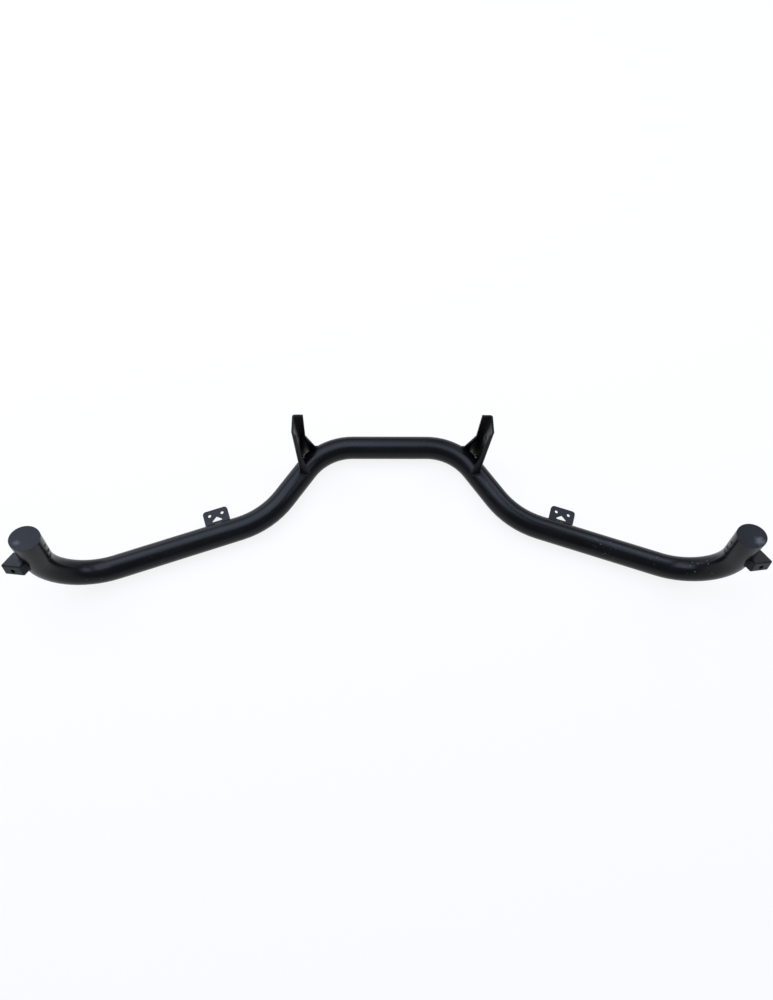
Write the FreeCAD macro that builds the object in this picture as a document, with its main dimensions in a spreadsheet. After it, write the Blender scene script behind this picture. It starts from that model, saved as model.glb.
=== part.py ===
# Rear bumper for a quad: one bent round tube with closed upturned ends,
# two upright frame brackets, two accessory tabs and two folded end brackets.
# Millimetres. The bumper lies on its back face: X across, Z up from the floor, floor at z = 0.
import FreeCAD, Part
import math
import os
import Sketcher

V = FreeCAD.Vector

SIZES = [
    # Tube: outside diameter and wall
    ("tube_diameter", 50.8),
    ("tube_wall", 2.0),
    # Tube route: corner points of the centre line, measured from the middle of the centre bar
    ("bar_corner_x", 148.5),
    ("shoulder_x", 265.8),
    ("shoulder_drop", 170.7),
    ("heel_x", 686.8),
    ("heel_drop", 311.4),
    ("tip_x", 655.4),
    ("tip_drop", 264.9),
    ("tip_rise", 189.6),
    # Centre-line radius of the three bends
    ("bar_bend_radius", 124.5),
    ("shoulder_bend_radius", 177.0),
    ("heel_bend_radius", 97.5),
    # Distance of the centre bar's axis behind the origin
    ("bar_offset_y", 146.9),
    # End caps
    ("cap_thickness", 3.0),
    # Frame brackets: upright channels of folded sheet, open towards the middle.
    # Drops are forward of the centre bar's axis, heights are above it.
    ("bracket_side_x", 196.0),
    ("bracket_sheet", 4.0),
    ("bracket_fold_radius", 5.0),
    ("bracket_height", 187.0),
    ("bracket_front_top", 59.0),
    ("bracket_front_foot", 77.5),
    ("bracket_back_top", 16.5),
    ("bracket_back_foot", 5.0),
    ("bracket_split", 37.0),
    ("bracket_skirt", 16.0),
    ("bracket_block", 60.0),
    # Front flange: width from the side web at its top, waist, step and foot
    ("front_top_width", 9.0),
    ("front_top_height", 174.0),
    ("front_waist_width", 11.2),
    ("front_waist_height", 105.0),
    ("front_step_width", 12.0),
    ("front_step_height", 88.0),
    ("front_foot_width", 20.5),
    ("front_foot_height", 19.0),
    # Back flange: width from the side web at its top, waist, flare and toe
    ("back_top_width", 21.0),
    ("back_waist_width", 15.0),
    ("back_waist_height", 85.0),
    ("back_flare_width", 30.0),
    ("back_flare_height", 27.0),
    ("back_toe_width", 37.0),
    ("back_toe_height", 22.0),
    # Frame bracket relief notch and bolt holes in the side web
    ("relief_radius", 7.0),
    ("relief_drop", 28.0),
    ("relief_height", 13.0),
    ("frame_bolt_hole", 10.5),
    ("frame_bolt_upper_drop", 37.0),
    ("frame_bolt_upper_height", 130.0),
    ("frame_bolt_lower_drop", 41.0),
    ("frame_bolt_lower_height", 86.0),
    # Tabs on the lower runs
    ("tab_place", 100.7),
    ("tab_half_width", 26.5),
    ("tab_reach", 58.5),
    ("tab_sheet", 4.0),
    ("tab_corner", 7.0),
    ("tab_hole", 7.0),
    ("tab_hole_half", 13.5),
    ("tab_hole_reach", 46.8),
    ("tab_window_half", 14.5),
    ("tab_window_base", 31.0),
    ("tab_window_apex", 42.0),
    ("tab_window_corner", 2.0),
    # End brackets: folded pans beside the upturned ends, placed from the tips
    ("pan_beyond_tip", 19.5),
    ("pan_ahead_of_tip", 43.8),
    ("pan_below_tip", 36.4),
    ("pan_yaw", 172.4),
    ("pan_pitch", 8.1),
    ("pan_roll", -149.5),
    ("pan_width", 40.0),
    ("pan_depth", 34.0),
    ("pan_height", 23.0),
    ("pan_sheet", 3.0),
    ("pan_fold_radius", 3.0),
    ("pan_bolt_hole", 9.0),
    ("pan_bolt_drop", 13.0),
]

doc = FreeCAD.newDocument("quad_rear_bumper")
sheet = doc.addObject("Spreadsheet::Sheet", "Sizes")
for row, (alias, number) in enumerate(SIZES, start=1):
    sheet.set("A%d" % row, alias)
    sheet.set("B%d" % row, str(number))
    sheet.setAlias("B%d" % row, alias)
doc.recompute()


def size(alias):
    """Number held by a cell of the sheet."""
    return float(sheet.get(alias))


def bind(thing, path, formula):
    """Tie a property of an object to the sheet; # stands for the sheet's name."""
    thing.setExpression(path, formula.replace("#", "Sizes."))


def total(terms):
    """Value and formula of a coordinate given as signed cell names, such as '+a -b'."""
    value = 0.0
    formula = ""
    for term in terms.split():
        factor = -1.0 if term[0] == "-" else 1.0
        if term[1:] != "zero":
            value += factor * size(term[1:])
            formula += " %s Sizes.%s" % (term[0], term[1:])
    return value, formula


def outline(name, turn, corners):
    """Closed sketch through corners whose coordinates are bound to the sheet.

    turn is the rotation that carries the sketch from the XY plane to its own plane.
    """
    sketch = doc.addObject("Sketcher::SketchObject", name)
    sketch.Placement = FreeCAD.Placement(V(0, 0, 0), turn)
    spots = []
    for across, along in corners:
        spots.append(V(total(across)[0], total(along)[0], 0))
    count = len(spots)
    for i in range(count):
        sketch.addGeometry(Part.LineSegment(spots[i], spots[(i + 1) % count]), False)
    for i in range(count):
        sketch.addConstraint(Sketcher.Constraint("Coincident", i, 2, (i + 1) % count, 1))
    for i, (across, along) in enumerate(corners):
        for kind, terms in (("DistanceX", across), ("DistanceY", along)):
            value, formula = total(terms)
            if not formula:
                place = 2 if kind == "DistanceX" else 1
                sketch.addConstraint(Sketcher.Constraint("PointOnObject", i, 1, -place))
                continue
            if value < 0:
                index = sketch.addConstraint(Sketcher.Constraint(kind, i, 1, -1, 1, -value))
                formula = "-(%s)" % formula
            else:
                index = sketch.addConstraint(Sketcher.Constraint(kind, -1, 1, i, 1, value))
            sketch.setExpression("Constraints[%d]" % index, formula)
    return sketch


def extrude(name, sketch, direction, forward, backward):
    """Straight solid of a sketch; forward and backward are formulas."""
    solid = doc.addObject("Part::Extrusion", name)
    solid.Base = sketch
    solid.DirMode = "Custom"
    solid.Dir = direction
    solid.Solid = True
    bind(solid, "LengthFwd", forward)
    bind(solid, "LengthRev", backward)
    return solid


def cylinder(name, radius, height, base, direction):
    """Round bar with its radius and height bound to the sheet, from base along direction."""
    bar = doc.addObject("Part::Cylinder", name)
    bind(bar, "Radius", radius)
    bind(bar, "Height", height)
    bar.Placement = FreeCAD.Placement(base, FreeCAD.Rotation(V(0, 0, 1), direction))
    return bar


def cut(name, base, tool):
    """Base less tool."""
    result = doc.addObject("Part::Cut", name)
    result.Base = base
    result.Tool = tool
    return result


def fuse(name, pieces):
    """One solid of several, with seams between flush faces taken out."""
    result = doc.addObject("Part::MultiFuse", name)
    result.Shapes = pieces
    result.Refine = True
    return result


def rounded(name, base, radius, wanted):
    """Base with the edges that wanted() picks rounded to a radius held in the sheet."""
    doc.recompute()
    picked = [i for i, edge in enumerate(base.Shape.Edges, start=1) if wanted(edge)]
    result = doc.addObject("Part::Fillet", name)
    result.Base = base
    result.Edges = [(i, size(radius), size(radius)) for i in picked]
    return result


def mirrored(name, source):
    """The same piece on the other side of the middle plane."""
    result = doc.addObject("Part::Mirroring", name)
    result.Source = source
    result.Normal = V(1, 0, 0)
    result.Base = V(0, 0, 0)
    return result


IN_XY = FreeCAD.Rotation(V(0, 0, 1), 0)
IN_XZ = FreeCAD.Rotation(V(1, 0, 0), 90)
IN_YZ = FreeCAD.Rotation(V(1, 1, 1), 120)


def spot(x, drop, rise):
    """Point of the left half from cell values: out from the middle, forward of the bar, up."""
    return V(-x, size("bar_offset_y") - drop, size("tube_diameter") / 2 + rise)


# Tube route: corners of the left half's centre line, from the middle outwards
middle = spot(0, 0, 0)
bar_corner = spot(size("bar_corner_x"), 0, 0)
shoulder = spot(size("shoulder_x"), size("shoulder_drop"), 0)
heel = spot(size("heel_x"), size("heel_drop"), 0)
tip = spot(size("tip_x"), size("tip_drop"), size("tip_rise"))
end_axis = (tip - heel).normalize()
tube_end = tip - end_axis * size("cap_thickness")


def bend(before, corner, after, radius):
    """Arc of a given radius that rounds a corner, as start, middle and end points."""
    back = (before - corner).normalize()
    onward = (after - corner).normalize()
    half = back.getAngle(onward) / 2
    start = corner + back * (radius / math.tan(half))
    finish = corner + onward * (radius / math.tan(half))
    centre = corner + (back + onward).normalize() * (radius / math.sin(half))
    crown = centre + (corner - centre).normalize() * radius
    return start, crown, finish


edges = []
last = middle
for before, corner, after, radius in (
    (middle, bar_corner, shoulder, size("bar_bend_radius")),
    (bar_corner, shoulder, heel, size("shoulder_bend_radius")),
    (shoulder, heel, tip, size("heel_bend_radius")),
):
    start, crown, finish = bend(before, corner, after, radius)
    edges.append(Part.LineSegment(last, start).toShape())
    edges.append(Part.Arc(start, crown, finish).toShape())
    last = finish
edges.append(Part.LineSegment(last, tube_end).toShape())
route = doc.addObject("Part::Feature", "tube_route")
route.Shape = Part.Wire(edges)
route_edges = ["Edge%d" % i for i in range(1, len(edges) + 1)]


def half_tube(name, radius):
    """Left half of a round bar along the tube's route."""
    ring = doc.addObject("Part::Circle", name + "_circle")
    bind(ring, "Radius", radius)
    ring.Placement = FreeCAD.Placement(middle, FreeCAD.Rotation(V(0, 0, 1), V(-1, 0, 0)))
    bar = doc.addObject("Part::Sweep", name)
    bar.Sections = [ring]
    bar.Spine = (route, route_edges)
    bar.Solid = True
    bar.Frenet = False
    return bar


# Main tube: hollow, open at both ends, the two halves made as one
outer_half = half_tube("outer_half", "#tube_diameter / 2")
bore_half = half_tube("bore_half", "#tube_diameter / 2 - #tube_wall")
hollow_half = cut("hollow_half", outer_half, bore_half)
main_tube = fuse("main_tube", [hollow_half, mirrored("hollow_half_right", hollow_half)])

# End caps: flush discs on the open ends
cap_left = cylinder("end_cap_left", "#tube_diameter / 2", "#cap_thickness", tube_end, end_axis)
cap_right = mirrored("end_cap_right", cap_left)

# Frame bracket: channel with a side web and two flanges, cut from a tapering block
side_sketch = outline("bracket_side_sketch", IN_YZ, [
    ("-bracket_front_foot", "-bracket_skirt"),
    ("-bracket_back_foot", "-bracket_skirt"),
    ("-bracket_back_top", "+bracket_height"),
    ("-bracket_front_top", "+bracket_height"),
])
block = extrude("bracket_block_solid", side_sketch, V(1, 0, 0), "#bracket_block", "0")


def on_fold(edge):
    """True for the two outer fold edges, along the side web's front and back."""
    box = edge.BoundBox
    return box.XMax < 0.01 and box.ZLength > size("bracket_height") / 2


folded = rounded("bracket_folded", block, "bracket_fold_radius", on_fold)
inside_sketch = outline("bracket_inside_sketch", IN_YZ, [
    ("-bracket_front_foot +bracket_sheet", "-bracket_skirt -bracket_sheet"),
    ("-bracket_back_foot -bracket_sheet", "-bracket_skirt -bracket_sheet"),
    ("-bracket_back_top -bracket_sheet", "+bracket_height +bracket_sheet"),
    ("-bracket_front_top +bracket_sheet", "+bracket_height +bracket_sheet"),
])
inside = extrude("bracket_inside", inside_sketch, V(1, 0, 0), "#bracket_block * 2", "-#bracket_sheet")
channel = cut("bracket_channel", folded, inside)

# Front flange outline: narrow at the top, stepped out to a foot over the tube
front_sketch = outline("bracket_front_sketch", IN_XZ, [
    ("+zero", "+zero"),
    ("+front_foot_width", "+zero"),
    ("+front_foot_width", "+front_foot_height"),
    ("+front_step_width", "+front_step_height"),
    ("+front_waist_width", "+front_waist_height"),
    ("+front_top_width", "+front_top_height"),
    ("+bracket_sheet", "+bracket_height"),
    ("+zero", "+bracket_height"),
])
front_trim = extrude("bracket_front_trim", front_sketch, V(0, 1, 0), "-#bracket_split", "#bracket_front_foot * 2")

# Back flange outline: waisted, with a toe on the bend and a skirt beside the tube
back_sketch = outline("bracket_back_sketch", IN_XZ, [
    ("+zero", "-bracket_skirt"),
    ("+back_toe_width", "-bracket_skirt"),
    ("+back_toe_width", "+back_toe_height"),
    ("+back_flare_width", "+back_flare_height"),
    ("+back_waist_width", "+back_waist_height"),
    ("+back_top_width", "+bracket_height"),
    ("+zero", "+bracket_height"),
])
back_trim = extrude("bracket_back_trim", back_sketch, V(0, 1, 0), "#bracket_split", "#bracket_split")
trim = fuse("bracket_trim", [front_trim, back_trim])
trimmed = doc.addObject("Part::MultiCommon", "bracket_trimmed")
trimmed.Shapes = [channel, trim]

side_openings = fuse("bracket_side_openings", [
    cylinder("bracket_" + which, radius, "#bracket_sheet * 3",
             V(-size("bracket_sheet"), -size(which + "_drop"), size(which + "_height")), V(1, 0, 0))
    for which, radius in (
        ("frame_bolt_upper", "#frame_bolt_hole / 2"),
        ("frame_bolt_lower", "#frame_bolt_hole / 2"),
        ("relief", "#relief_radius"),
    )
])
drilled = cut("bracket_drilled", trimmed, side_openings)
drilled.Placement = FreeCAD.Placement(spot(size("bracket_side_x"), 0, 0), IN_XY)
bracket_left = cut("frame_bracket_left", drilled, outer_half)
bracket_right = mirrored("frame_bracket_right", bracket_left)

# Tab: flat plate with rounded corners, two holes and a three-cornered window, edge on to the tube
tab_sketch = outline("tab_sketch", IN_XY, [
    ("-tab_half_width", "+zero"),
    ("+tab_half_width", "+zero"),
    ("+tab_half_width", "+tab_reach"),
    ("-tab_half_width", "+tab_reach"),
])
tab_blank = extrude("tab_blank", tab_sketch, V(0, 0, 1), "#tab_sheet / 2", "#tab_sheet / 2")
window_sketch = outline("tab_window_sketch", IN_XY, [
    ("-tab_window_half", "+tab_window_base"),
    ("+tab_window_half", "+tab_window_base"),
    ("+zero", "+tab_window_apex"),
])
window_blank = extrude("tab_window_blank", window_sketch, V(0, 0, 1), "#tab_sheet", "#tab_sheet")


def upright(edge):
    """True for an edge along the plate's thickness, away from the tube's axis."""
    return edge.BoundBox.ZLength > size("tab_sheet") / 2 and edge.BoundBox.YMin > size("tube_diameter") / 2


tab_plate = rounded("tab_plate", tab_blank, "tab_corner", upright)
window = rounded("tab_window", window_blank, "tab_window_corner", upright)
tab_openings = fuse("tab_openings", [window] + [
    cylinder("tab_hole_" + which, "#tab_hole / 2", "#tab_sheet * 2",
             V(side * size("tab_hole_half"), size("tab_hole_reach"), -size("tab_sheet")), V(0, 0, 1))
    for which, side in (("inner", 1), ("outer", -1))
])
tab_pierced = cut("tab_pierced", tab_plate, tab_openings)
lower_run = (shoulder - heel).normalize()
tab_pierced.Placement = FreeCAD.Placement(
    shoulder - lower_run * size("tab_place"), FreeCAD.Rotation(V(1, 0, 0), lower_run))
tab_left = cut("tab_left", tab_pierced, outer_half)
tab_right = mirrored("tab_right", tab_left)

# End bracket: folded pan, open at the back, its near corner at the pan's own origin
pan_sketch = outline("pan_sketch", IN_XY, [
    ("+zero", "+zero"),
    ("+pan_width", "+zero"),
    ("+pan_width", "+pan_depth"),
    ("+zero", "+pan_depth"),
])
pan_block = extrude("pan_block", pan_sketch, V(0, 0, 1), "#pan_height", "0")


def pan_fold(edge):
    """True for an outer edge of the pan that isn't on its open back."""
    return edge.BoundBox.YMax < size("pan_depth") - 0.01 or edge.BoundBox.YLength > size("pan_depth") / 2


pan_skin = rounded("pan_skin", pan_block, "pan_fold_radius", pan_fold)
hollow_sketch = outline("pan_hollow_sketch", IN_XY, [
    ("+pan_sheet", "+pan_sheet"),
    ("+pan_width -pan_sheet", "+pan_sheet"),
    ("+pan_width -pan_sheet", "+pan_depth +pan_sheet"),
    ("+pan_sheet", "+pan_depth +pan_sheet"),
])
pan_hollow = extrude("pan_hollow", hollow_sketch, V(0, 0, 1), "#pan_height - #pan_sheet", "-#pan_sheet")
pan_bolt = cylinder("pan_bolt", "#pan_bolt_hole / 2", "#pan_sheet * 3",
                    V(size("pan_width") / 2, -size("pan_sheet"), size("pan_bolt_drop")), V(0, 1, 0))
pan_open = cut("pan_open", pan_skin, fuse("pan_removed", [pan_hollow, pan_bolt]))
pan_open.Placement = FreeCAD.Placement(
    tip + V(-size("pan_beyond_tip"), -size("pan_ahead_of_tip"), -size("pan_below_tip")),
    FreeCAD.Rotation(size("pan_yaw"), size("pan_pitch"), size("pan_roll")))
pan_left = cut("side_bracket_left", pan_open, outer_half)
pan_right = mirrored("side_bracket_right", pan_left)

doc.recompute()
pieces = [
    main_tube, cap_left, cap_right, bracket_left, bracket_right,
    tab_left, tab_right, pan_left, pan_right,
]
for thing in doc.Objects:
    if "Invalid" in thing.State or "Error" in thing.State:
        raise RuntimeError("failed: " + thing.Name)
for piece in pieces:
    shape = piece.Shape
    if shape.isNull() or not shape.isValid() or len(shape.Solids) != 1:
        raise RuntimeError("bad shape: " + piece.Name)

os.makedirs("parts", exist_ok=True)
for piece in pieces:
    piece.Label = piece.Name
    piece.Shape.exportStep("parts/%s.step" % piece.Label)
    box = piece.Shape.optimalBoundingBox(False)
    print("%-20s volume %9.0f  x %7.1f %7.1f  y %7.1f %7.1f  z %7.1f %7.1f" % (
        piece.Label, piece.Shape.Volume, box.XMin, box.XMax, box.YMin, box.YMax, box.ZMin, box.ZMax))
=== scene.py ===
"""Studio scene of a bent-tube rear bumper for a quad, lying on a pale floor."""

import logging
import math
from dataclasses import dataclass, field
from enum import Enum

import bpy
from mathutils import Matrix, Quaternion, Vector


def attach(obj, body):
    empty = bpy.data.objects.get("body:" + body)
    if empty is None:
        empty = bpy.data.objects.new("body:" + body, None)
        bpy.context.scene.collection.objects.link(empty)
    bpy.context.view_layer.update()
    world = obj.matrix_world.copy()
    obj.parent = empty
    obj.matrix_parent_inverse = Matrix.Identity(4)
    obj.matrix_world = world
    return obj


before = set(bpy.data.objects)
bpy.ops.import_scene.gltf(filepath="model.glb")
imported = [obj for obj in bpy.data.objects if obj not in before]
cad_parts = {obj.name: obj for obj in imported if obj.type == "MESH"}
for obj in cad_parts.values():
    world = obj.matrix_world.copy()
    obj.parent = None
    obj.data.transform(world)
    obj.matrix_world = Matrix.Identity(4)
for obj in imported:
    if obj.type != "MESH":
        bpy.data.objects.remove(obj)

LOG = logging.getLogger("rear_bumper")
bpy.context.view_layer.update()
MM = 0.001

Socket = bpy.types.NodeSocket
Tree = bpy.types.NodeTree
Pair = tuple[float, float]
Triple = tuple[float, float, float]

# Patterns in the coat: scales in repeats a metre, details in octaves, the rest as shares.
WHOLE = (0.0, 1.0)
NOISE_SPAN = (0.3, 0.7)
MOTTLE_SCALE, MOTTLE_DETAIL, MOTTLE_SPAN = 14.0, 5.0, (0.35, 0.7)
GLOSS_SCALE, GLOSS_DETAIL = 26.0, 4.0
PEEL_DETAIL, PEEL_STRENGTH = 2.0, 0.25
RAGGED_SCALE, RAGGED_DETAIL, RAGGED_SHARE = 160.0, 3.0, 0.2
# The rub marks on the caps are partly wear and partly a painted reflection glint.
RUB_AND_GLINT_CORE, RUB_AND_GLINT_DULLING, RUB_AND_GLINT_COLOUR = 0.15, 0.2, (0.1, 0.1, 0.1)
DUST_SCALE, DUST_SIZE, DUST_TILT, DUST_COLOUR = 80.0, 0.07, (0.1, 0.5), (0.09, 0.092, 0.096)
CHIP_SCALE, CHIP_SIZE, CHIP_SHARE, CHIP_CORE = 190.0, 0.2, 0.35, 0.4
CHIP_COLOUR = (0.16, 0.165, 0.175)
DOT_EDGE, PICK_EDGE = (0.6, 1.3), 0.02


class Side(Enum):
    """Half of the bumper; the value is the sign of X."""

    LEFT = -1
    RIGHT = 1

    @property
    def word(self) -> str:
        """Name used in the pieces' names.

        Returns:
            The side in small letters.
        """
        return self.name.lower()


def clear_selection() -> None:
    """Deselect every object."""
    bpy.ops.object.select_all(action="DESELECT")


def select_only(*objects: bpy.types.Object) -> None:
    """Select some objects alone; the first becomes active.

    Args:
        objects: Objects to select.
    """
    clear_selection()
    for thing in objects:
        thing.select_set(True)
    bpy.context.view_layer.objects.active = objects[0]


@dataclass(frozen=True)
class ScuffAndGlint:
    """Pale spot on a coated face, used for patches of chips and for rub marks that are partly wear
    and partly a painted reflection glint; lengths in metres.
    """

    centre: Triple
    radius: float
    strength: float


@dataclass(frozen=True)
class CoatFinish:
    """Black powder coat: colours, gloss, orange peel, dust, and rub marks that are partly wear and
    partly a painted reflection glint.
    """

    name: str
    deep: Triple
    pale: Triple
    roughness: float
    roughness_swing: float
    peel_size: float
    peel_depth: float
    dust: float
    sheen: float = 0.18
    rubs_and_glints: tuple[ScuffAndGlint, ...] = ()
    chips: tuple[ScuffAndGlint, ...] = ()

    def build(self) -> bpy.types.Material:
        """Make the material.

        Returns:
            A node material that reads Object coordinates only.
        """
        material = bpy.data.materials.new(self.name)
        material.use_nodes = True
        tree = material.node_tree
        shader = tree.nodes["Principled BSDF"]
        where = tree.nodes.new("ShaderNodeTexCoord").outputs["Object"]
        colour = self._mottle(tree, where)
        rough = self._gloss(tree, where)
        for rub_and_glint in self.rubs_and_glints:
            colour, rough = self._rub_and_glint(tree, where, colour, rough, rub_and_glint)
        if self.dust > 0:
            colour = self._dust(tree, where, colour)
        for patch in self.chips:
            colour = self._chip(tree, where, colour, patch)
        tree.links.new(colour, shader.inputs["Base Color"])
        tree.links.new(rough, shader.inputs["Roughness"])
        shader.inputs["Specular IOR Level"].default_value = self.sheen
        tree.links.new(self._peel(tree, where), shader.inputs["Normal"])
        return material

    def _upward(self, tree: Tree) -> Socket:
        """How far a face looks up.

        Args:
            tree: Node tree to add to.

        Returns:
            The upward share of the face's direction.
        """
        facing = tree.nodes.new("ShaderNodeNewGeometry")
        split = tree.nodes.new("ShaderNodeSeparateXYZ")
        tree.links.new(facing.outputs["Normal"], split.inputs["Vector"])
        return split.outputs["Z"]

    def _noise(self, tree: Tree, where: Socket, scale: float, detail: float) -> Socket:
        """Noise value at a scale in repeats a metre.

        Args:
            tree: Node tree to add to.
            where: Coordinates.
            scale: Repeats a metre.
            detail: Octaves.

        Returns:
            The noise's factor output.
        """
        noise = tree.nodes.new("ShaderNodeTexNoise")
        noise.inputs["Scale"].default_value = scale
        noise.inputs["Detail"].default_value = detail
        tree.links.new(where, noise.inputs["Vector"])
        return noise.outputs["Fac"]

    def _range(self, tree: Tree, value: Socket, span: Pair, result: Pair) -> Socket:
        """Clamped straight-line map of a value.

        Args:
            tree: Node tree to add to.
            value: Value to map.
            span: Values that give the first and the last result.
            result: First and last result.

        Returns:
            The mapped value.
        """
        node = tree.nodes.new("ShaderNodeMapRange")
        for name, number in zip(("From Min", "From Max", "To Min", "To Max"), (*span, *result)):
            node.inputs[name].default_value = number
        tree.links.new(value, node.inputs["Value"])
        return node.outputs["Result"]

    def _math(self, tree: Tree, operation: str, first: Socket, second: Socket | float) -> Socket:
        """Arithmetic on two values.

        Args:
            tree: Node tree to add to.
            operation: Math node operation.
            first: First value.
            second: Second value, a socket or a number.

        Returns:
            The result.
        """
        node = tree.nodes.new("ShaderNodeMath")
        node.operation = operation
        tree.links.new(first, node.inputs[0])
        if isinstance(second, (int, float)):
            node.inputs[1].default_value = second
        else:
            tree.links.new(second, node.inputs[1])
        return node.outputs["Value"]

    def _blend(self, tree: Tree, amount: Socket, first: Socket | Triple,
               second: Socket | Triple) -> Socket:
        """Mix of two colours.

        Args:
            tree: Node tree to add to.
            amount: Share of the second colour.
            first: First colour, a socket or red, green and blue.
            second: Second colour, a socket or red, green and blue.

        Returns:
            The mixed colour.
        """
        node = tree.nodes.new("ShaderNodeMix")
        node.data_type = "RGBA"
        tree.links.new(amount, node.inputs["Factor"])
        for socket, colour in ((node.inputs[6], first), (node.inputs[7], second)):
            if isinstance(colour, tuple):
                socket.default_value = (*colour, 1.0)
            else:
                tree.links.new(colour, socket)
        return node.outputs[2]

    def _mottle(self, tree: Tree, where: Socket) -> Socket:
        """Slow change between the two blacks of the coat.

        Args:
            tree: Node tree to add to.
            where: Coordinates.

        Returns:
            The colour.
        """
        cloud = self._noise(tree, where, MOTTLE_SCALE, MOTTLE_DETAIL)
        share = self._range(tree, cloud, MOTTLE_SPAN, WHOLE)
        return self._blend(tree, share, self.deep, self.pale)

    def _gloss(self, tree: Tree, where: Socket) -> Socket:
        """Roughness that wanders over handled areas.

        Args:
            tree: Node tree to add to.
            where: Coordinates.

        Returns:
            The roughness.
        """
        cloud = self._noise(tree, where, GLOSS_SCALE, GLOSS_DETAIL)
        limits = (self.roughness - self.roughness_swing, self.roughness + self.roughness_swing)
        return self._range(tree, cloud, NOISE_SPAN, limits)

    def _peel(self, tree: Tree, where: Socket) -> Socket:
        """Fine orange peel of the baked powder.

        Args:
            tree: Node tree to add to.
            where: Coordinates.

        Returns:
            The surface direction.
        """
        bump = tree.nodes.new("ShaderNodeBump")
        bump.inputs["Strength"].default_value = PEEL_STRENGTH
        bump.inputs["Distance"].default_value = self.peel_depth
        grain = self._noise(tree, where, 1.0 / self.peel_size, PEEL_DETAIL)
        tree.links.new(grain, bump.inputs["Height"])
        return bump.outputs["Normal"]

    def _rub_and_glint(self, tree: Tree, where: Socket, colour: Socket, rough: Socket,
             rub_and_glint: ScuffAndGlint) -> tuple[Socket, Socket]:
        """Pale, dull spot with a ragged edge, partly rub wear and partly a painted reflection
        glint.

        Args:
            tree: Node tree to add to.
            where: Coordinates.
            colour: Colour under the mark.
            rough: Roughness under the mark.
            rub_and_glint: Place and strength.

        Returns:
            Colour and roughness with the mark.
        """
        gap = self._gap(tree, where, rub_and_glint.centre)
        noise = self._noise(tree, where, RAGGED_SCALE, RAGGED_DETAIL)
        ragged = self._range(tree, noise, NOISE_SPAN, (-RAGGED_SHARE, RAGGED_SHARE))
        reach = self._math(tree, "ADD", gap, self._math(tree, "MULTIPLY", ragged, rub_and_glint.radius))
        edge = (rub_and_glint.radius * RUB_AND_GLINT_CORE, rub_and_glint.radius)
        rub_and_glint_mask = self._range(tree, reach, edge, (rub_and_glint.strength, 0.0))
        colour = self._blend(tree, rub_and_glint_mask, colour, RUB_AND_GLINT_COLOUR)
        rough = self._math(tree, "ADD", rough, self._math(tree, "MULTIPLY", rub_and_glint_mask, RUB_AND_GLINT_DULLING))
        return colour, rough

    def _dust(self, tree: Tree, where: Socket, colour: Socket) -> Socket:
        """Few pale dust grains on faces that look up.

        Args:
            tree: Node tree to add to.
            where: Coordinates.
            colour: Colour under the dust.

        Returns:
            Colour with dust.
        """
        grains = self._grains(tree, where, DUST_SCALE, DUST_SIZE, self.dust)
        upward = self._range(tree, self._upward(tree), DUST_TILT, WHOLE)
        return self._blend(tree, self._math(tree, "MULTIPLY", grains, upward), colour, DUST_COLOUR)

    def _chip(self, tree: Tree, where: Socket, colour: Socket, patch: ScuffAndGlint) -> Socket:
        """Cluster of small pale chips in the coat.

        Args:
            tree: Node tree to add to.
            where: Coordinates.
            colour: Colour under the chips.
            patch: Place and strength.

        Returns:
            Colour with the chips.
        """
        gap = self._gap(tree, where, patch.centre)
        edge = (patch.radius * CHIP_CORE, patch.radius)
        near = self._range(tree, gap, edge, (patch.strength, 0.0))
        grains = self._grains(tree, where, CHIP_SCALE, CHIP_SIZE, CHIP_SHARE)
        return self._blend(tree, self._math(tree, "MULTIPLY", grains, near), colour, CHIP_COLOUR)

    def _gap(self, tree: Tree, where: Socket, centre: Triple) -> Socket:
        """Distance from a place.

        Args:
            tree: Node tree to add to.
            where: Coordinates.
            centre: The place.

        Returns:
            The distance in metres.
        """
        gap = tree.nodes.new("ShaderNodeVectorMath")
        gap.operation = "DISTANCE"
        gap.inputs[1].default_value = centre
        tree.links.new(where, gap.inputs[0])
        return gap.outputs["Value"]

    def _grains(self, tree: Tree, where: Socket, scale: float, size: float, share: float) -> Socket:
        """Small scattered dots.

        Args:
            tree: Node tree to add to.
            where: Coordinates.
            scale: Cells a metre, at most one dot in each.
            size: Radius of a dot as a share of its cell.
            share: Share of the cells that hold a dot.

        Returns:
            One on a dot, nought elsewhere.
        """
        cells = tree.nodes.new("ShaderNodeTexVoronoi")
        cells.inputs["Scale"].default_value = scale
        tree.links.new(where, cells.inputs["Vector"])
        edge = (size * DOT_EDGE[0], size * DOT_EDGE[1])
        dot = self._range(tree, cells.outputs["Distance"], edge, (1.0, 0.0))
        pick = tree.nodes.new("ShaderNodeSeparateColor")
        tree.links.new(cells.outputs["Color"], pick.inputs["Color"])
        limit = 1.0 - share
        chosen = self._range(tree, pick.outputs["Red"], (limit, limit + PICK_EDGE), WHOLE)
        return self._math(tree, "MULTIPLY", dot, chosen)


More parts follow.
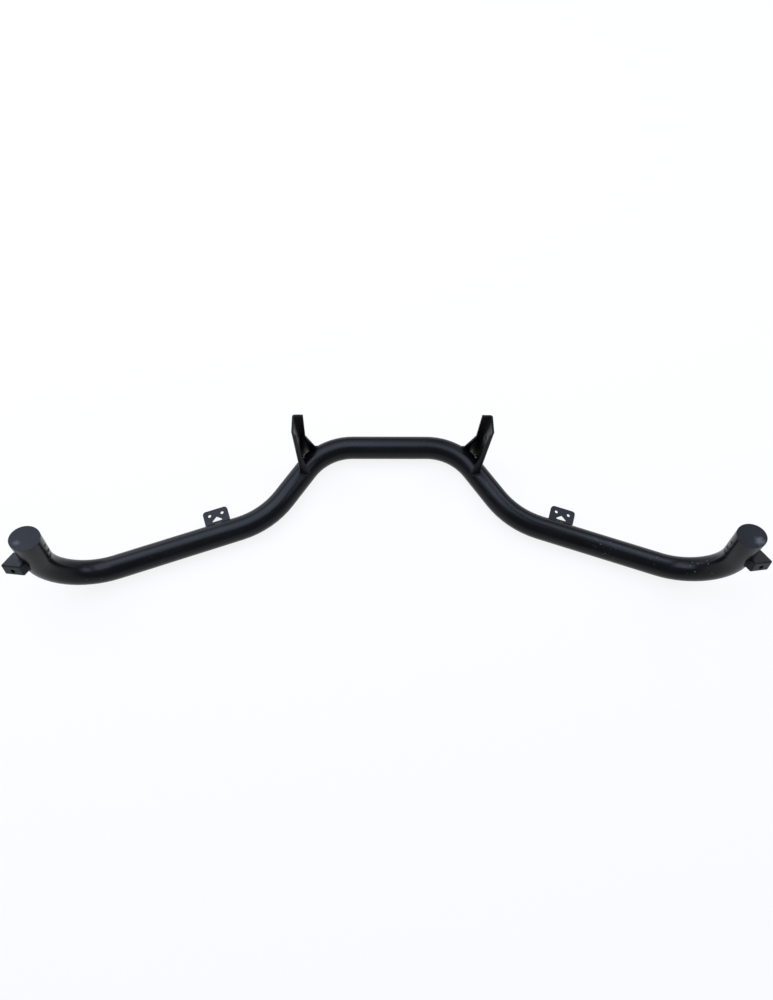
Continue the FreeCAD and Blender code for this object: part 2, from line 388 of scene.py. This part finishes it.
@dataclass
class TubeRoute:
    """Centre line of the left half of the tube: corners, bend radii and tube radius in metres."""

    corners: list[Vector]
    radii: list[float]
    tube_radius: float
    halvings: int = 14
    line: list[Vector] = field(default_factory=list)

    def __post_init__(self) -> None:
        """Walk the route once and keep its points."""
        self.line = self._walk()

    def _walk(self) -> list[Vector]:
        """Points about a millimetre apart along runs and bends.

        Returns:
            The centre line's points.
        """
        points: list[Vector] = []
        last = self.corners[0]
        for index, radius in enumerate(self.radii, start=1):
            start, centre, finish = self.bend(index, radius)
            points += self._straight(last, start)
            first = start - centre
            turn = first.rotation_difference(finish - centre)
            steps = max(2, int(turn.angle * radius / MM))
            for step in range(steps):
                points.append(centre + Quaternion(turn.axis, turn.angle * step / steps) @ first)
            last = finish
        return points + self._straight(last, self.corners[-1])

    def bend(self, index: int, radius: float) -> tuple[Vector, Vector, Vector]:
        """Start, centre and finish of the bend at a corner.

        Args:
            index: Number of the corner.
            radius: Centre-line radius.

        Returns:
            Start, centre and finish points.
        """
        corner = self.corners[index]
        back = (self.corners[index - 1] - corner).normalized()
        onward = (self.corners[index + 1] - corner).normalized()
        half = back.angle(onward) / 2
        reach = radius / math.tan(half)
        centre = corner + (back + onward).normalized() * (radius / math.sin(half))
        return corner + back * reach, centre, corner + onward * reach

    @staticmethod
    def _straight(start: Vector, finish: Vector) -> list[Vector]:
        """Points about a millimetre apart on a straight run.

        Args:
            start: First point, kept.
            finish: Last point, left out.

        Returns:
            The points.
        """
        steps = max(1, int((finish - start).length / MM))
        return [start.lerp(finish, step / steps) for step in range(steps)]

    def clearance(self, point: Vector) -> float:
        """Distance from the tube's skin.

        Args:
            point: Place to measure from.

        Returns:
            The distance, negative inside the tube.
        """
        return min((point - spot).length for spot in self.line) - self.tube_radius

    def touch(self, outside: Vector, inside: Vector) -> Vector | None:
        """Point where a straight line meets the tube's skin.

        Args:
            outside: Start of the line, clear of the tube.
            inside: End of the line, in the tube.

        Returns:
            The meeting point, or None if the line does not cross the skin.
        """
        if self.clearance(outside) < 0 or self.clearance(inside) > 0:
            return None
        for _ in range(self.halvings):
            middle = (outside + inside) / 2
            if self.clearance(middle) > 0:
                outside = middle
            else:
                inside = middle
        return (outside + inside) / 2


@dataclass
class Bead:
    """Raised run of metal, such as a weld, made of overlapping ripples along a path.

    The path holds points of the left half; radius and pitch are in metres.
    """

    name: str
    paths: list[list[Vector]]
    radius: float
    pitch: float
    squash: float = 0.62
    taper: bool = False
    least_size: float = 0.28
    wobble: float = 0.07
    wobble_step: float = 2.4
    voxel: float = 0.0006
    ease: float = 0.5
    ease_rounds: int = 2

    def build(self, side: Side, coat: bpy.types.Material) -> bpy.types.Object:
        """Model the bead on one half.

        Args:
            side: Half of the bumper.
            coat: Finish.

        Returns:
            The bead as one closed mesh.
        """
        clear_selection()
        bpy.ops.mesh.primitive_ico_sphere_add(
            subdivisions=2, radius=self.radius, location=(0, 0, 0))
        ripple = bpy.context.active_object
        copies: list[bpy.types.Object] = []
        for path in self.paths:
            stops = self._stops(path)
            for index, (point, heading) in enumerate(stops):
                size = self._size(index, len(stops))
                copy = ripple.copy()
                copy.data = ripple.data.copy()
                bpy.context.collection.objects.link(copy)
                turn = Vector((1, 0, 0)).rotation_difference(heading).to_matrix().to_4x4()
                squeeze = Matrix.Diagonal((self.squash * size, size, size, 1.0))
                copy.data.transform(Matrix.Translation(point) @ turn @ squeeze)
                copies.append(copy)
        bpy.data.objects.remove(ripple, do_unlink=True)
        select_only(*copies)
        bpy.ops.object.join()
        bead = bpy.context.active_object
        bead.name = "%s_%s" % (self.name, side.word)
        bead.data.name = bead.name
        self._fuse(bead)
        if side is Side.RIGHT:
            bead.data.transform(Matrix.Diagonal((-1.0, 1.0, 1.0, 1.0)))
            bead.data.flip_normals()
        bead.data.materials.clear()
        bead.data.materials.append(coat)
        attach(bead, "root")
        return bead

    def _size(self, index: int, count: int) -> float:
        """Size of one ripple as a share of the full one.

        Args:
            index: Number of the ripple.
            count: Ripples on the path.

        Returns:
            The share.
        """
        size = 1.0
        if self.taper:
            size = max(self.least_size, math.sin(math.pi * (index + 0.5) / count))
        return size * (1.0 + self.wobble * math.sin(index * self.wobble_step))

    def _stops(self, path: list[Vector]) -> list[tuple[Vector, Vector]]:
        """Evenly spaced points and headings along a path.

        Args:
            path: Points of the path.

        Returns:
            A point and a unit heading for each ripple.
        """
        stops: list[tuple[Vector, Vector]] = []
        left = 0.0
        for start, finish in zip(path, path[1:]):
            run = finish - start
            along = left
            while along < run.length:
                stops.append((start + run.normalized() * along, run.normalized()))
                along += self.pitch
            left = along - run.length
        return stops

    def _fuse(self, bead: bpy.types.Object) -> None:
        """Melt the ripples into one skin.

        Args:
            bead: Joined ripples.
        """
        select_only(bead)
        melt = bead.modifiers.new("melt", "REMESH")
        melt.mode = "VOXEL"
        melt.voxel_size = self.voxel
        bpy.ops.object.modifier_apply(modifier=melt.name)
        ease = bead.modifiers.new("ease", "SMOOTH")
        ease.factor = self.ease
        ease.iterations = self.ease_rounds
        bpy.ops.object.modifier_apply(modifier=ease.name)
        bpy.ops.object.shade_smooth()


@dataclass
class FrameBracketWelds:
    """Welds that hold an upright channel bracket on the upper bend; sizes in millimetres."""

    route: TubeRoute
    bar_y: float
    axis_z: float
    side_x: float = 196.0
    sheet: float = 4.0
    skirt: float = 16.0
    height: float = 187.0
    front_foot: float = 77.5
    front_top: float = 59.0
    back_foot: float = 5.0
    back_top: float = 16.5
    probe: float = 60.0
    lift: float = 0.4
    edge_gap: float = 0.5
    side_gap: float = 0.3
    front_rise: float = 20.0
    toe_rise: float = 15.0
    front_stops: tuple[float, ...] = (193.0, 189.0, 185.0, 181.0, 177.0)
    outer_stops: tuple[float, ...] = (72.0, 64.0, 56.0, 48.0, 40.0)
    toe_stops: tuple[float, ...] = (171.0, 167.5, 164.0, 160.5)
    toe_back_stops: tuple[float, ...] = (169.0, 166.0, 163.0, 160.5)

    def _flange(self, foot: float, top: float, rise: float) -> float:
        """Y of a leaning flange's outer face.

        Args:
            foot: Distance before the bar at the foot.
            top: Distance before the bar at the top.
            rise: Height above the tube's axis.

        Returns:
            Y in millimetres.
        """
        share = (rise + self.skirt) / (self.height + self.skirt)
        return self.bar_y - (foot + (top - foot) * share)

    def _seat(self, x: float, y: float) -> Vector | None:
        """Point on the tube's skin straight below a place.

        Args:
            x: Place across, in millimetres.
            y: Place along, in millimetres.

        Returns:
            The point in metres, or None clear of the tube.
        """
        top = Vector((x, y, self.axis_z + self.probe)) * MM
        return self.route.touch(top, Vector((x, y, self.axis_z)) * MM)

    def paths(self) -> list[list[Vector]]:
        """Lines where the bracket's edges meet the tube.

        Returns:
            Weld paths of the left bracket.
        """
        lift = Vector((0, 0, self.lift)) * MM
        runs: list[list[Vector]] = []
        front_y = self._flange(self.front_foot, self.front_top, self.front_rise) - self.edge_gap
        back_y = self._flange(self.back_foot, self.back_top, self.toe_rise)
        outer_x = -self.side_x - self.side_gap
        inner_y = back_y - self.sheet - self.edge_gap
        front = [self._seat(-x, front_y) for x in self.front_stops]
        outer = [self._seat(outer_x, self.bar_y - y) for y in self.outer_stops]
        toe = [self._seat(-x, inner_y) for x in self.toe_stops]
        toe_back = [self._seat(-x, back_y + self.edge_gap) for x in self.toe_back_stops]
        for points in (front, outer, toe, toe_back):
            run = [point + lift for point in points if point is not None]
            if len(run) > 1:
                runs.append(run)
        return runs


@dataclass
class TabWelds:
    """Welds along a tab's edge on the lower run; sizes in millimetres."""

    route: TubeRoute
    place: float = 100.7
    half_width: float = 24.5
    sheet: float = 4.0
    gap: float = 0.3
    half_steps: int = 4

    def paths(self) -> list[list[Vector]]:
        """Lines above and below the plate where it meets the tube.

        Returns:
            Weld paths of the left tab.
        """
        shoulder, heel = self.route.corners[2], self.route.corners[3]
        along = (shoulder - heel).normalized()
        across = Vector((-along.y, along.x, 0))
        middle = shoulder - along * self.place * MM
        rise = (self.sheet / 2 + self.gap) * MM
        reach = math.sqrt(self.route.tube_radius ** 2 - rise ** 2) + self.gap * MM
        stride = along * (self.half_width / self.half_steps * MM)
        steps = range(-self.half_steps, self.half_steps + 1)
        runs: list[list[Vector]] = []
        for up in (1, -1):
            edge = middle + across * reach + Vector((0, 0, up * rise))
            runs.append([edge + stride * step for step in steps])
        return runs


@dataclass
class SideBracketWelds:
    """Welds round a folded end bracket; sizes in millimetres, yaw, pitch and roll in degrees."""

    route: TubeRoute
    corner: Vector
    turn: Triple = (172.4, 8.1, -149.5)
    depth: float = 34.0
    height: float = 23.0
    gap: float = 0.3
    end_room: float = 3.0
    end_stops: tuple[float, ...] = (20.0, 17.0, 14.0, 11.0, 8.0, 5.0, 3.0)
    near_stops: tuple[float, ...] = (2.0, 5.0, 8.0, 11.0, 14.0, 17.0, 20.0, 23.0)
    far_stops: tuple[float, ...] = (2.0, 5.0, 8.0, 11.0, 14.0, 17.0, 20.0)

    def _spot(self, x: float, y: float, z: float) -> Vector:
        """Point of the bracket's own frame.

        Args:
            x: Along the width.
            y: Along the depth.
            z: Along the height.

        Returns:
            The point in metres.
        """
        yaw, pitch, roll = (math.radians(angle) for angle in self.turn)
        turn = Matrix.Rotation(yaw, 3, "Z") @ Matrix.Rotation(pitch, 3, "Y")
        turn = turn @ Matrix.Rotation(roll, 3, "X")
        return self.corner + turn @ (Vector((x, y, z)) * MM)

    def paths(self) -> list[list[Vector]]:
        """Lines where the top, side and bottom walls meet the tube.

        Returns:
            Weld paths of the left bracket.
        """
        lines = [
            [(-self.gap, z) for z in self.end_stops],
            [(x, -self.gap) for x in self.near_stops],
            [(x, self.height + self.gap) for x in self.far_stops],
        ]
        runs: list[list[Vector]] = []
        for line in lines:
            run = []
            for x, z in line:
                inside = self._spot(x, self.depth - self.end_room, z)
                point = self.route.touch(self._spot(x, 0, z), inside)
                if point is not None:
                    run.append(point)
            if len(run) > 1:
                runs.append(run)
        return runs


@dataclass
class HeelWrinkles:
    """Low ridges left by bending on the inner side of an upturned end; lengths in millimetres."""

    route: TubeRoute
    places: tuple[float, ...] = (133.0, 147.0, 153.0, 169.0)
    middles: tuple[float, ...] = (-14.0, -4.0, -20.0, -9.0)
    spreads: tuple[float, ...] = (34.0, 16.0, 24.0, 14.0)
    sink: float = 1.5
    half_steps: int = 6

    def paths(self) -> list[list[Vector]]:
        """Short arcs across the tube, one for each ridge.

        Returns:
            Ridge paths of the left end.
        """
        shoulder, heel, tip = self.route.corners[2:5]
        rise = (tip - heel).normalized()
        inward = (shoulder - heel).normalized()
        inward = (inward - rise * inward.dot(rise)).normalized()
        reach = self.route.tube_radius - self.sink * MM
        runs: list[list[Vector]] = []
        for place, middle, spread in zip(self.places, self.middles, self.spreads):
            foot = heel + rise * (place * MM)
            steps = range(2 * self.half_steps + 1)
            angles = [middle + spread * (step / self.half_steps - 1) for step in steps]
            runs.append([
                foot + Quaternion(rise, math.radians(angle)) @ inward * reach for angle in angles
            ])
        return runs


@dataclass
class CapSeam:
    """Thin weld round an end cap."""

    centre: Vector
    axis: Vector
    radius: float
    step: int = 6

    def paths(self) -> list[list[Vector]]:
        """Ring just under the cap's face.

        Returns:
            One closed path of the left cap.
        """
        side = self.axis.orthogonal().normalized()
        return [[
            self.centre + Quaternion(self.axis, math.radians(angle)) @ side * self.radius
            for angle in range(0, 361, self.step)
        ]]


TUBE_CHIPS = (
    ScuffAndGlint((0.4460, -0.1010, 0.0450), 0.045, 0.8),
    ScuffAndGlint((0.5550, -0.1120, 0.0495), 0.025, 0.5),
    ScuffAndGlint((0.6280, -0.1460, 0.0790), 0.032, 1.0),
    ScuffAndGlint((0.6370, -0.1260, 0.1680), 0.022, 0.8),
    ScuffAndGlint((-0.6370, -0.1300, 0.1720), 0.022, 0.5),
    ScuffAndGlint((-0.4800, -0.1080, 0.0480), 0.020, 0.5),
)
# Rub marks on the caps: pale spots that are partly wear and partly a painted reflection glint.
LEFT_CAP_RUB_AND_GLINT = ScuffAndGlint((-0.6654, -0.1278, 0.2191), 0.0068, 0.6)
RIGHT_CAP_RUB_AND_GLINT = ScuffAndGlint((0.6646, -0.1295, 0.2194), 0.0115, 0.9)

TUBE_COAT = CoatFinish(
    name="coat_tube", deep=(0.0024, 0.0025, 0.0029), pale=(0.0046, 0.0048, 0.0055),
    roughness=0.27, roughness_swing=0.04, peel_size=0.0011, peel_depth=0.00012,
    dust=0.15, sheen=0.18, chips=TUBE_CHIPS,
)
BRACKET_COAT = CoatFinish(
    name="coat_brackets", deep=(0.0024, 0.0025, 0.0029), pale=(0.0046, 0.0048, 0.0055),
    roughness=0.36, roughness_swing=0.05, peel_size=0.0009, peel_depth=0.00012,
    dust=0.05, sheen=0.11,
)
# A lighter copy of the same black coat for the tabs and pans: painted light, as their up-facing
# tops catch the light.
PLATE_PAINTED_LIT_COAT = CoatFinish(
    name="coat_plates_painted_lit", deep=(0.0080, 0.0085, 0.0099), pale=(0.0115, 0.0122, 0.0142),
    roughness=0.36, roughness_swing=0.05, peel_size=0.0009, peel_depth=0.00012,
    dust=0.05, sheen=0.17,
)
# Two copies of the caps' coat: the left painted lighter as if lit, the right painted darker as if
# shaded.
LEFT_CAP_PAINTED_LIT_COAT = CoatFinish(
    name="coat_cap_left", deep=(0.0105, 0.0111, 0.0128), pale=(0.0145, 0.0153, 0.0176),
    roughness=0.4, roughness_swing=0.05, peel_size=0.0010, peel_depth=0.00012,
    dust=0.0, sheen=0.15, rubs_and_glints=(LEFT_CAP_RUB_AND_GLINT,),
)
RIGHT_CAP_PAINTED_SHADE_COAT = CoatFinish(
    name="coat_cap_right", deep=(0.0042, 0.0045, 0.0052), pale=(0.0068, 0.0072, 0.0083),
    roughness=0.4, roughness_swing=0.05, peel_size=0.0010, peel_depth=0.00012,
    dust=0.0, sheen=0.14, rubs_and_glints=(RIGHT_CAP_RUB_AND_GLINT,),
)
WELD_COAT = CoatFinish(
    name="coat_welds", deep=(0.0035, 0.0037, 0.0042), pale=(0.0060, 0.0063, 0.0072),
    roughness=0.34, roughness_swing=0.06, peel_size=0.0012, peel_depth=0.0001,
    dust=0.0, sheen=0.18,
)


@dataclass
class Bumper:
    """The whole welded bumper: its route, its coats and its beads; sizes in millimetres."""

    bar_y: float = 146.9
    axis_z: float = 25.4
    tube_radius: float = 25.4
    bar_half: float = 148.5
    shoulder: Pair = (265.8, 170.7)
    heel: Pair = (686.8, 311.4)
    tip: Triple = (655.4, 264.9, 189.6)
    bends: Triple = (124.5, 177.0, 97.5)
    pan_corner: Triple = (674.9, 308.7, 153.2)
    seam_depth: float = 3.0
    seam_sink: float = 0.9

    def _place(self, out: float, ahead: float, rise: float = 0.0) -> Vector:
        """Point of the left half.

        Args:
            out: Distance from the middle.
            ahead: Distance before the bar.
            rise: Height above the tube's axis on the floor.

        Returns:
            The point in metres.
        """
        return Vector((-out, self.bar_y - ahead, self.axis_z + rise)) * MM

    def route(self) -> TubeRoute:
        """Centre line from the middle of the bar to the left tip.

        Returns:
            The route of the left half.
        """
        corners = [
            self._place(0.0, 0.0),
            self._place(self.bar_half, 0.0),
            self._place(*self.shoulder),
            self._place(*self.heel),
            self._place(*self.tip),
        ]
        return TubeRoute(corners, [radius * MM for radius in self.bends], self.tube_radius * MM)

    def dress(self) -> dict[str, bpy.types.Material]:
        """Give each solid its coat.

        Returns:
            The coat of each solid by the solid's name.
        """
        # The plates' coat and the caps' coats are copies of one black coat, painted lighter or
        # darker for how light falls.
        plate = PLATE_PAINTED_LIT_COAT.build()
        bracket = BRACKET_COAT.build()
        coats = {
            "main_tube": TUBE_COAT.build(),
            "end_cap_left": LEFT_CAP_PAINTED_LIT_COAT.build(),
            "end_cap_right": RIGHT_CAP_PAINTED_SHADE_COAT.build(),
            "frame_bracket_left": bracket,
            "frame_bracket_right": bracket,
        }
        worn: dict[str, bpy.types.Material] = {}
        for name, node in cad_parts.items():
            worn[name] = coats.get(name, plate)
            node.data.materials.clear()
            node.data.materials.append(worn[name])
        return worn

    def weld(self) -> list[bpy.types.Object]:
        """Lay the beads on both halves.

        Returns:
            The beads.
        """
        route = self.route()
        tip = route.corners[-1]
        axis = (tip - route.corners[-2]).normalized()
        brackets = FrameBracketWelds(route, self.bar_y, self.axis_z)
        pans = SideBracketWelds(route, self._place(*self.pan_corner))
        seam = CapSeam(tip - axis * self.seam_depth * MM, axis,
                       route.tube_radius - self.seam_sink * MM)
        beads = [
            Bead("weld_frame_bracket", brackets.paths(), radius=0.003, pitch=0.0021),
            Bead("weld_tab", TabWelds(route).paths(), radius=0.0017, pitch=0.0015),
            Bead("weld_side_bracket", pans.paths(), radius=0.0023, pitch=0.0018),
            Bead("weld_cap", seam.paths(), radius=0.0013, pitch=0.0014),
            Bead("heel_wrinkle", HeelWrinkles(route).paths(), radius=0.0027, pitch=0.0012,
                 squash=0.8, taper=True),
        ]
        coat = WELD_COAT.build()
        return [bead.build(side, coat) for bead in beads for side in Side]


@dataclass
class Studio:
    """Pale floor, soft light and the camera; lengths in metres."""

    eye: Triple = (-0.04756, -0.4100, 1.2164)
    look: Triple = (0.03072, 0.34038, -0.93978)
    right: Triple = (0.99953, -0.01197, 0.02833)
    lens: float = 20.84
    film_width: float = 36.0
    floor_size: float = 80.0
    floor_grey: float = 0.8
    floor_roughness: float = 0.9
    floor_glow: float = 0.86
    air_colour: Triple = (0.95, 0.98, 1.0)
    surround: float = 0.25
    backdrop: float = 0.85
    fade_rise: Pair = (0.02, 0.36)
    panel_left: Pair = (-3.2, 0.45)
    panel_right: Pair = (1.2, 3.2)
    panel_height: float = 2.5
    panel_reach: Pair = (-0.5, 4.5)
    panel_share: float = 0.5
    core_height: float = 2.48
    core_reach: Pair = (-0.1, 2.1)
    core_share: float = 0.88
    panel_level: float = 2.6
    panel_colour: Triple = (0.79, 0.92, 1.19)
    far_place: Triple = (-3.4, 3.4, 0.95)
    far_facing: Triple = (0.65, -0.76, 0.0)
    far_size: Pair = (2.6, 1.7)
    far_share: float = 0.6

    def build(self) -> None:
        """Make the floor, the surround, the lights and the camera."""
        self._floor()
        self._air()
        self._lights()
        self._camera()
        bpy.context.scene.view_settings.view_transform = "Standard"

    def _floor(self) -> None:
        """White floor that keeps a faint shadow of the bumper."""
        clear_selection()
        bpy.ops.mesh.primitive_plane_add(size=self.floor_size, location=(0, 0, 0))
        floor = bpy.context.active_object
        floor.name = "floor"
        paint = bpy.data.materials.new("floor_white")
        paint.use_nodes = True
        tree = paint.node_tree
        shader = tree.nodes["Principled BSDF"]
        grey = self.floor_grey
        shader.inputs["Base Color"].default_value = (grey, grey, grey, 1.0)
        shader.inputs["Roughness"].default_value = self.floor_roughness
        shader.inputs["Specular IOR Level"].default_value = 0.0
        glow = tree.nodes.new("ShaderNodeEmission")
        glow.inputs["Color"].default_value = (1.0, 1.0, 1.0, 1.0)
        glow.inputs["Strength"].default_value = 1.0
        mix = tree.nodes.new("ShaderNodeMixShader")
        tree.links.new(self._seen(tree, self.floor_glow), mix.inputs["Fac"])
        tree.links.new(shader.outputs["BSDF"], mix.inputs[1])
        tree.links.new(glow.outputs["Emission"], mix.inputs[2])
        tree.links.new(mix.outputs["Shader"], tree.nodes["Material Output"].inputs["Surface"])
        floor.data.materials.append(paint)

    @staticmethod
    def _seen(tree: Tree, share: float) -> Socket:
        """Share for rays that look at the background, straight or in a reflection.

        Args:
            tree: Node tree to add to.
            share: Value for such rays.

        Returns:
            The share, nought for all other rays.
        """
        path = tree.nodes.new("ShaderNodeLightPath")
        first = tree.nodes.new("ShaderNodeMath")
        first.operation = "MAXIMUM"
        tree.links.new(path.outputs["Is Camera Ray"], first.inputs[0])
        tree.links.new(path.outputs["Is Glossy Ray"], first.inputs[1])
        second = tree.nodes.new("ShaderNodeMath")
        second.operation = "MAXIMUM"
        tree.links.new(first.outputs["Value"], second.inputs[0])
        tree.links.new(path.outputs["Is Transmission Ray"], second.inputs[1])
        scaled = tree.nodes.new("ShaderNodeMath")
        scaled.operation = "MULTIPLY"
        tree.links.new(second.outputs["Value"], scaled.inputs[0])
        scaled.inputs[1].default_value = share
        return scaled.outputs["Value"]

    def _air(self) -> None:
        """Dim surround that is paler at the horizon."""
        world = bpy.data.worlds.new("studio_air")
        bpy.context.scene.world = world
        world.use_nodes = True
        tree = world.node_tree
        air = tree.nodes["Background"]
        air.inputs["Color"].default_value = (*self.air_colour, 1.0)
        heading = tree.nodes.new("ShaderNodeTexCoord").outputs["Generated"]
        split = tree.nodes.new("ShaderNodeSeparateXYZ")
        tree.links.new(heading, split.inputs["Vector"])
        fade = tree.nodes.new("ShaderNodeMapRange")
        fade.interpolation_type = "SMOOTHSTEP"
        numbers = (*self.fade_rise, self.backdrop, self.surround)
        for name, number in zip(("From Min", "From Max", "To Min", "To Max"), numbers):
            fade.inputs[name].default_value = number
        tree.links.new(split.outputs["Z"], fade.inputs["Value"])
        tree.links.new(fade.outputs["Result"], air.inputs["Strength"])

    def _lights(self) -> None:
        """Soft panels overhead, each with a brighter core, and one far left."""
        for word, across in (("left", self.panel_left), ("right", self.panel_right)):
            self._overhead("panel_" + word, across, self.panel_reach, self.panel_height,
                           self.panel_share)
            self._overhead("core_" + word, across, self.core_reach, self.core_height,
                           self.core_share)
        self._panel("panel_far_left", self.far_place, self.far_facing, self.far_size,
                    self.far_share)

    def _overhead(self, name: str, across: Pair, along: Pair, height: float, share: float) -> None:
        """Soft lamp that looks straight down.

        Args:
            name: Lamp's name.
            across: Least and greatest X.
            along: Least and greatest Y.
            height: Height over the floor.
            share: Share of the studio's panel level.
        """
        place = (sum(across) / 2, sum(along) / 2, height)
        size = (across[1] - across[0], along[1] - along[0])
        self._panel(name, place, (0.0, 0.0, -1.0), size, share)

    def _panel(self, name: str, place: Triple, facing: Triple, size: Pair, share: float) -> None:
        """Flat soft lamp.

        Args:
            name: Lamp's name.
            place: Middle of the panel.
            facing: Direction it shines in.
            size: Width and height.
            share: Share of the studio's panel level.
        """
        data = bpy.data.lights.new(name, "AREA")
        data.shape = "RECTANGLE"
        data.size, data.size_y = size
        data.energy = share * self.panel_level * math.pi * data.size * data.size_y
        data.color = self.panel_colour
        lamp = bpy.data.objects.new(name, data)
        lamp.location = place
        lamp.rotation_euler = Vector(facing).to_track_quat("-Z", "Y").to_euler()
        bpy.context.collection.objects.link(lamp)
        LOG.info("%s: %.0f W", name, data.energy)

    def _camera(self) -> None:
        """View from above and in front, as photographed."""
        data = bpy.data.cameras.new("camera")
        data.sensor_width = self.film_width
        data.lens = self.lens
        camera = bpy.data.objects.new("camera", data)
        look = Vector(self.look).normalized()
        right = Vector(self.right).normalized()
        up = right.cross(look)
        turn = Matrix((right, up, -look)).transposed()
        camera.matrix_world = Matrix.Translation(self.eye) @ turn.to_4x4()
        bpy.context.collection.objects.link(camera)
        bpy.context.scene.camera = camera


def main() -> None:
    """Build the bumper's looks and the studio."""
    logging.basicConfig(level=logging.INFO, format="%(name)s %(message)s")
    bumper = Bumper()
    for name, coat in bumper.dress().items():
        LOG.info("%s: %s", name, coat.name)
    for bead in bumper.weld():
        LOG.info("%s: %d faces", bead.name, len(bead.data.polygons))
    Studio().build()


if __name__ == "__main__":
    main()
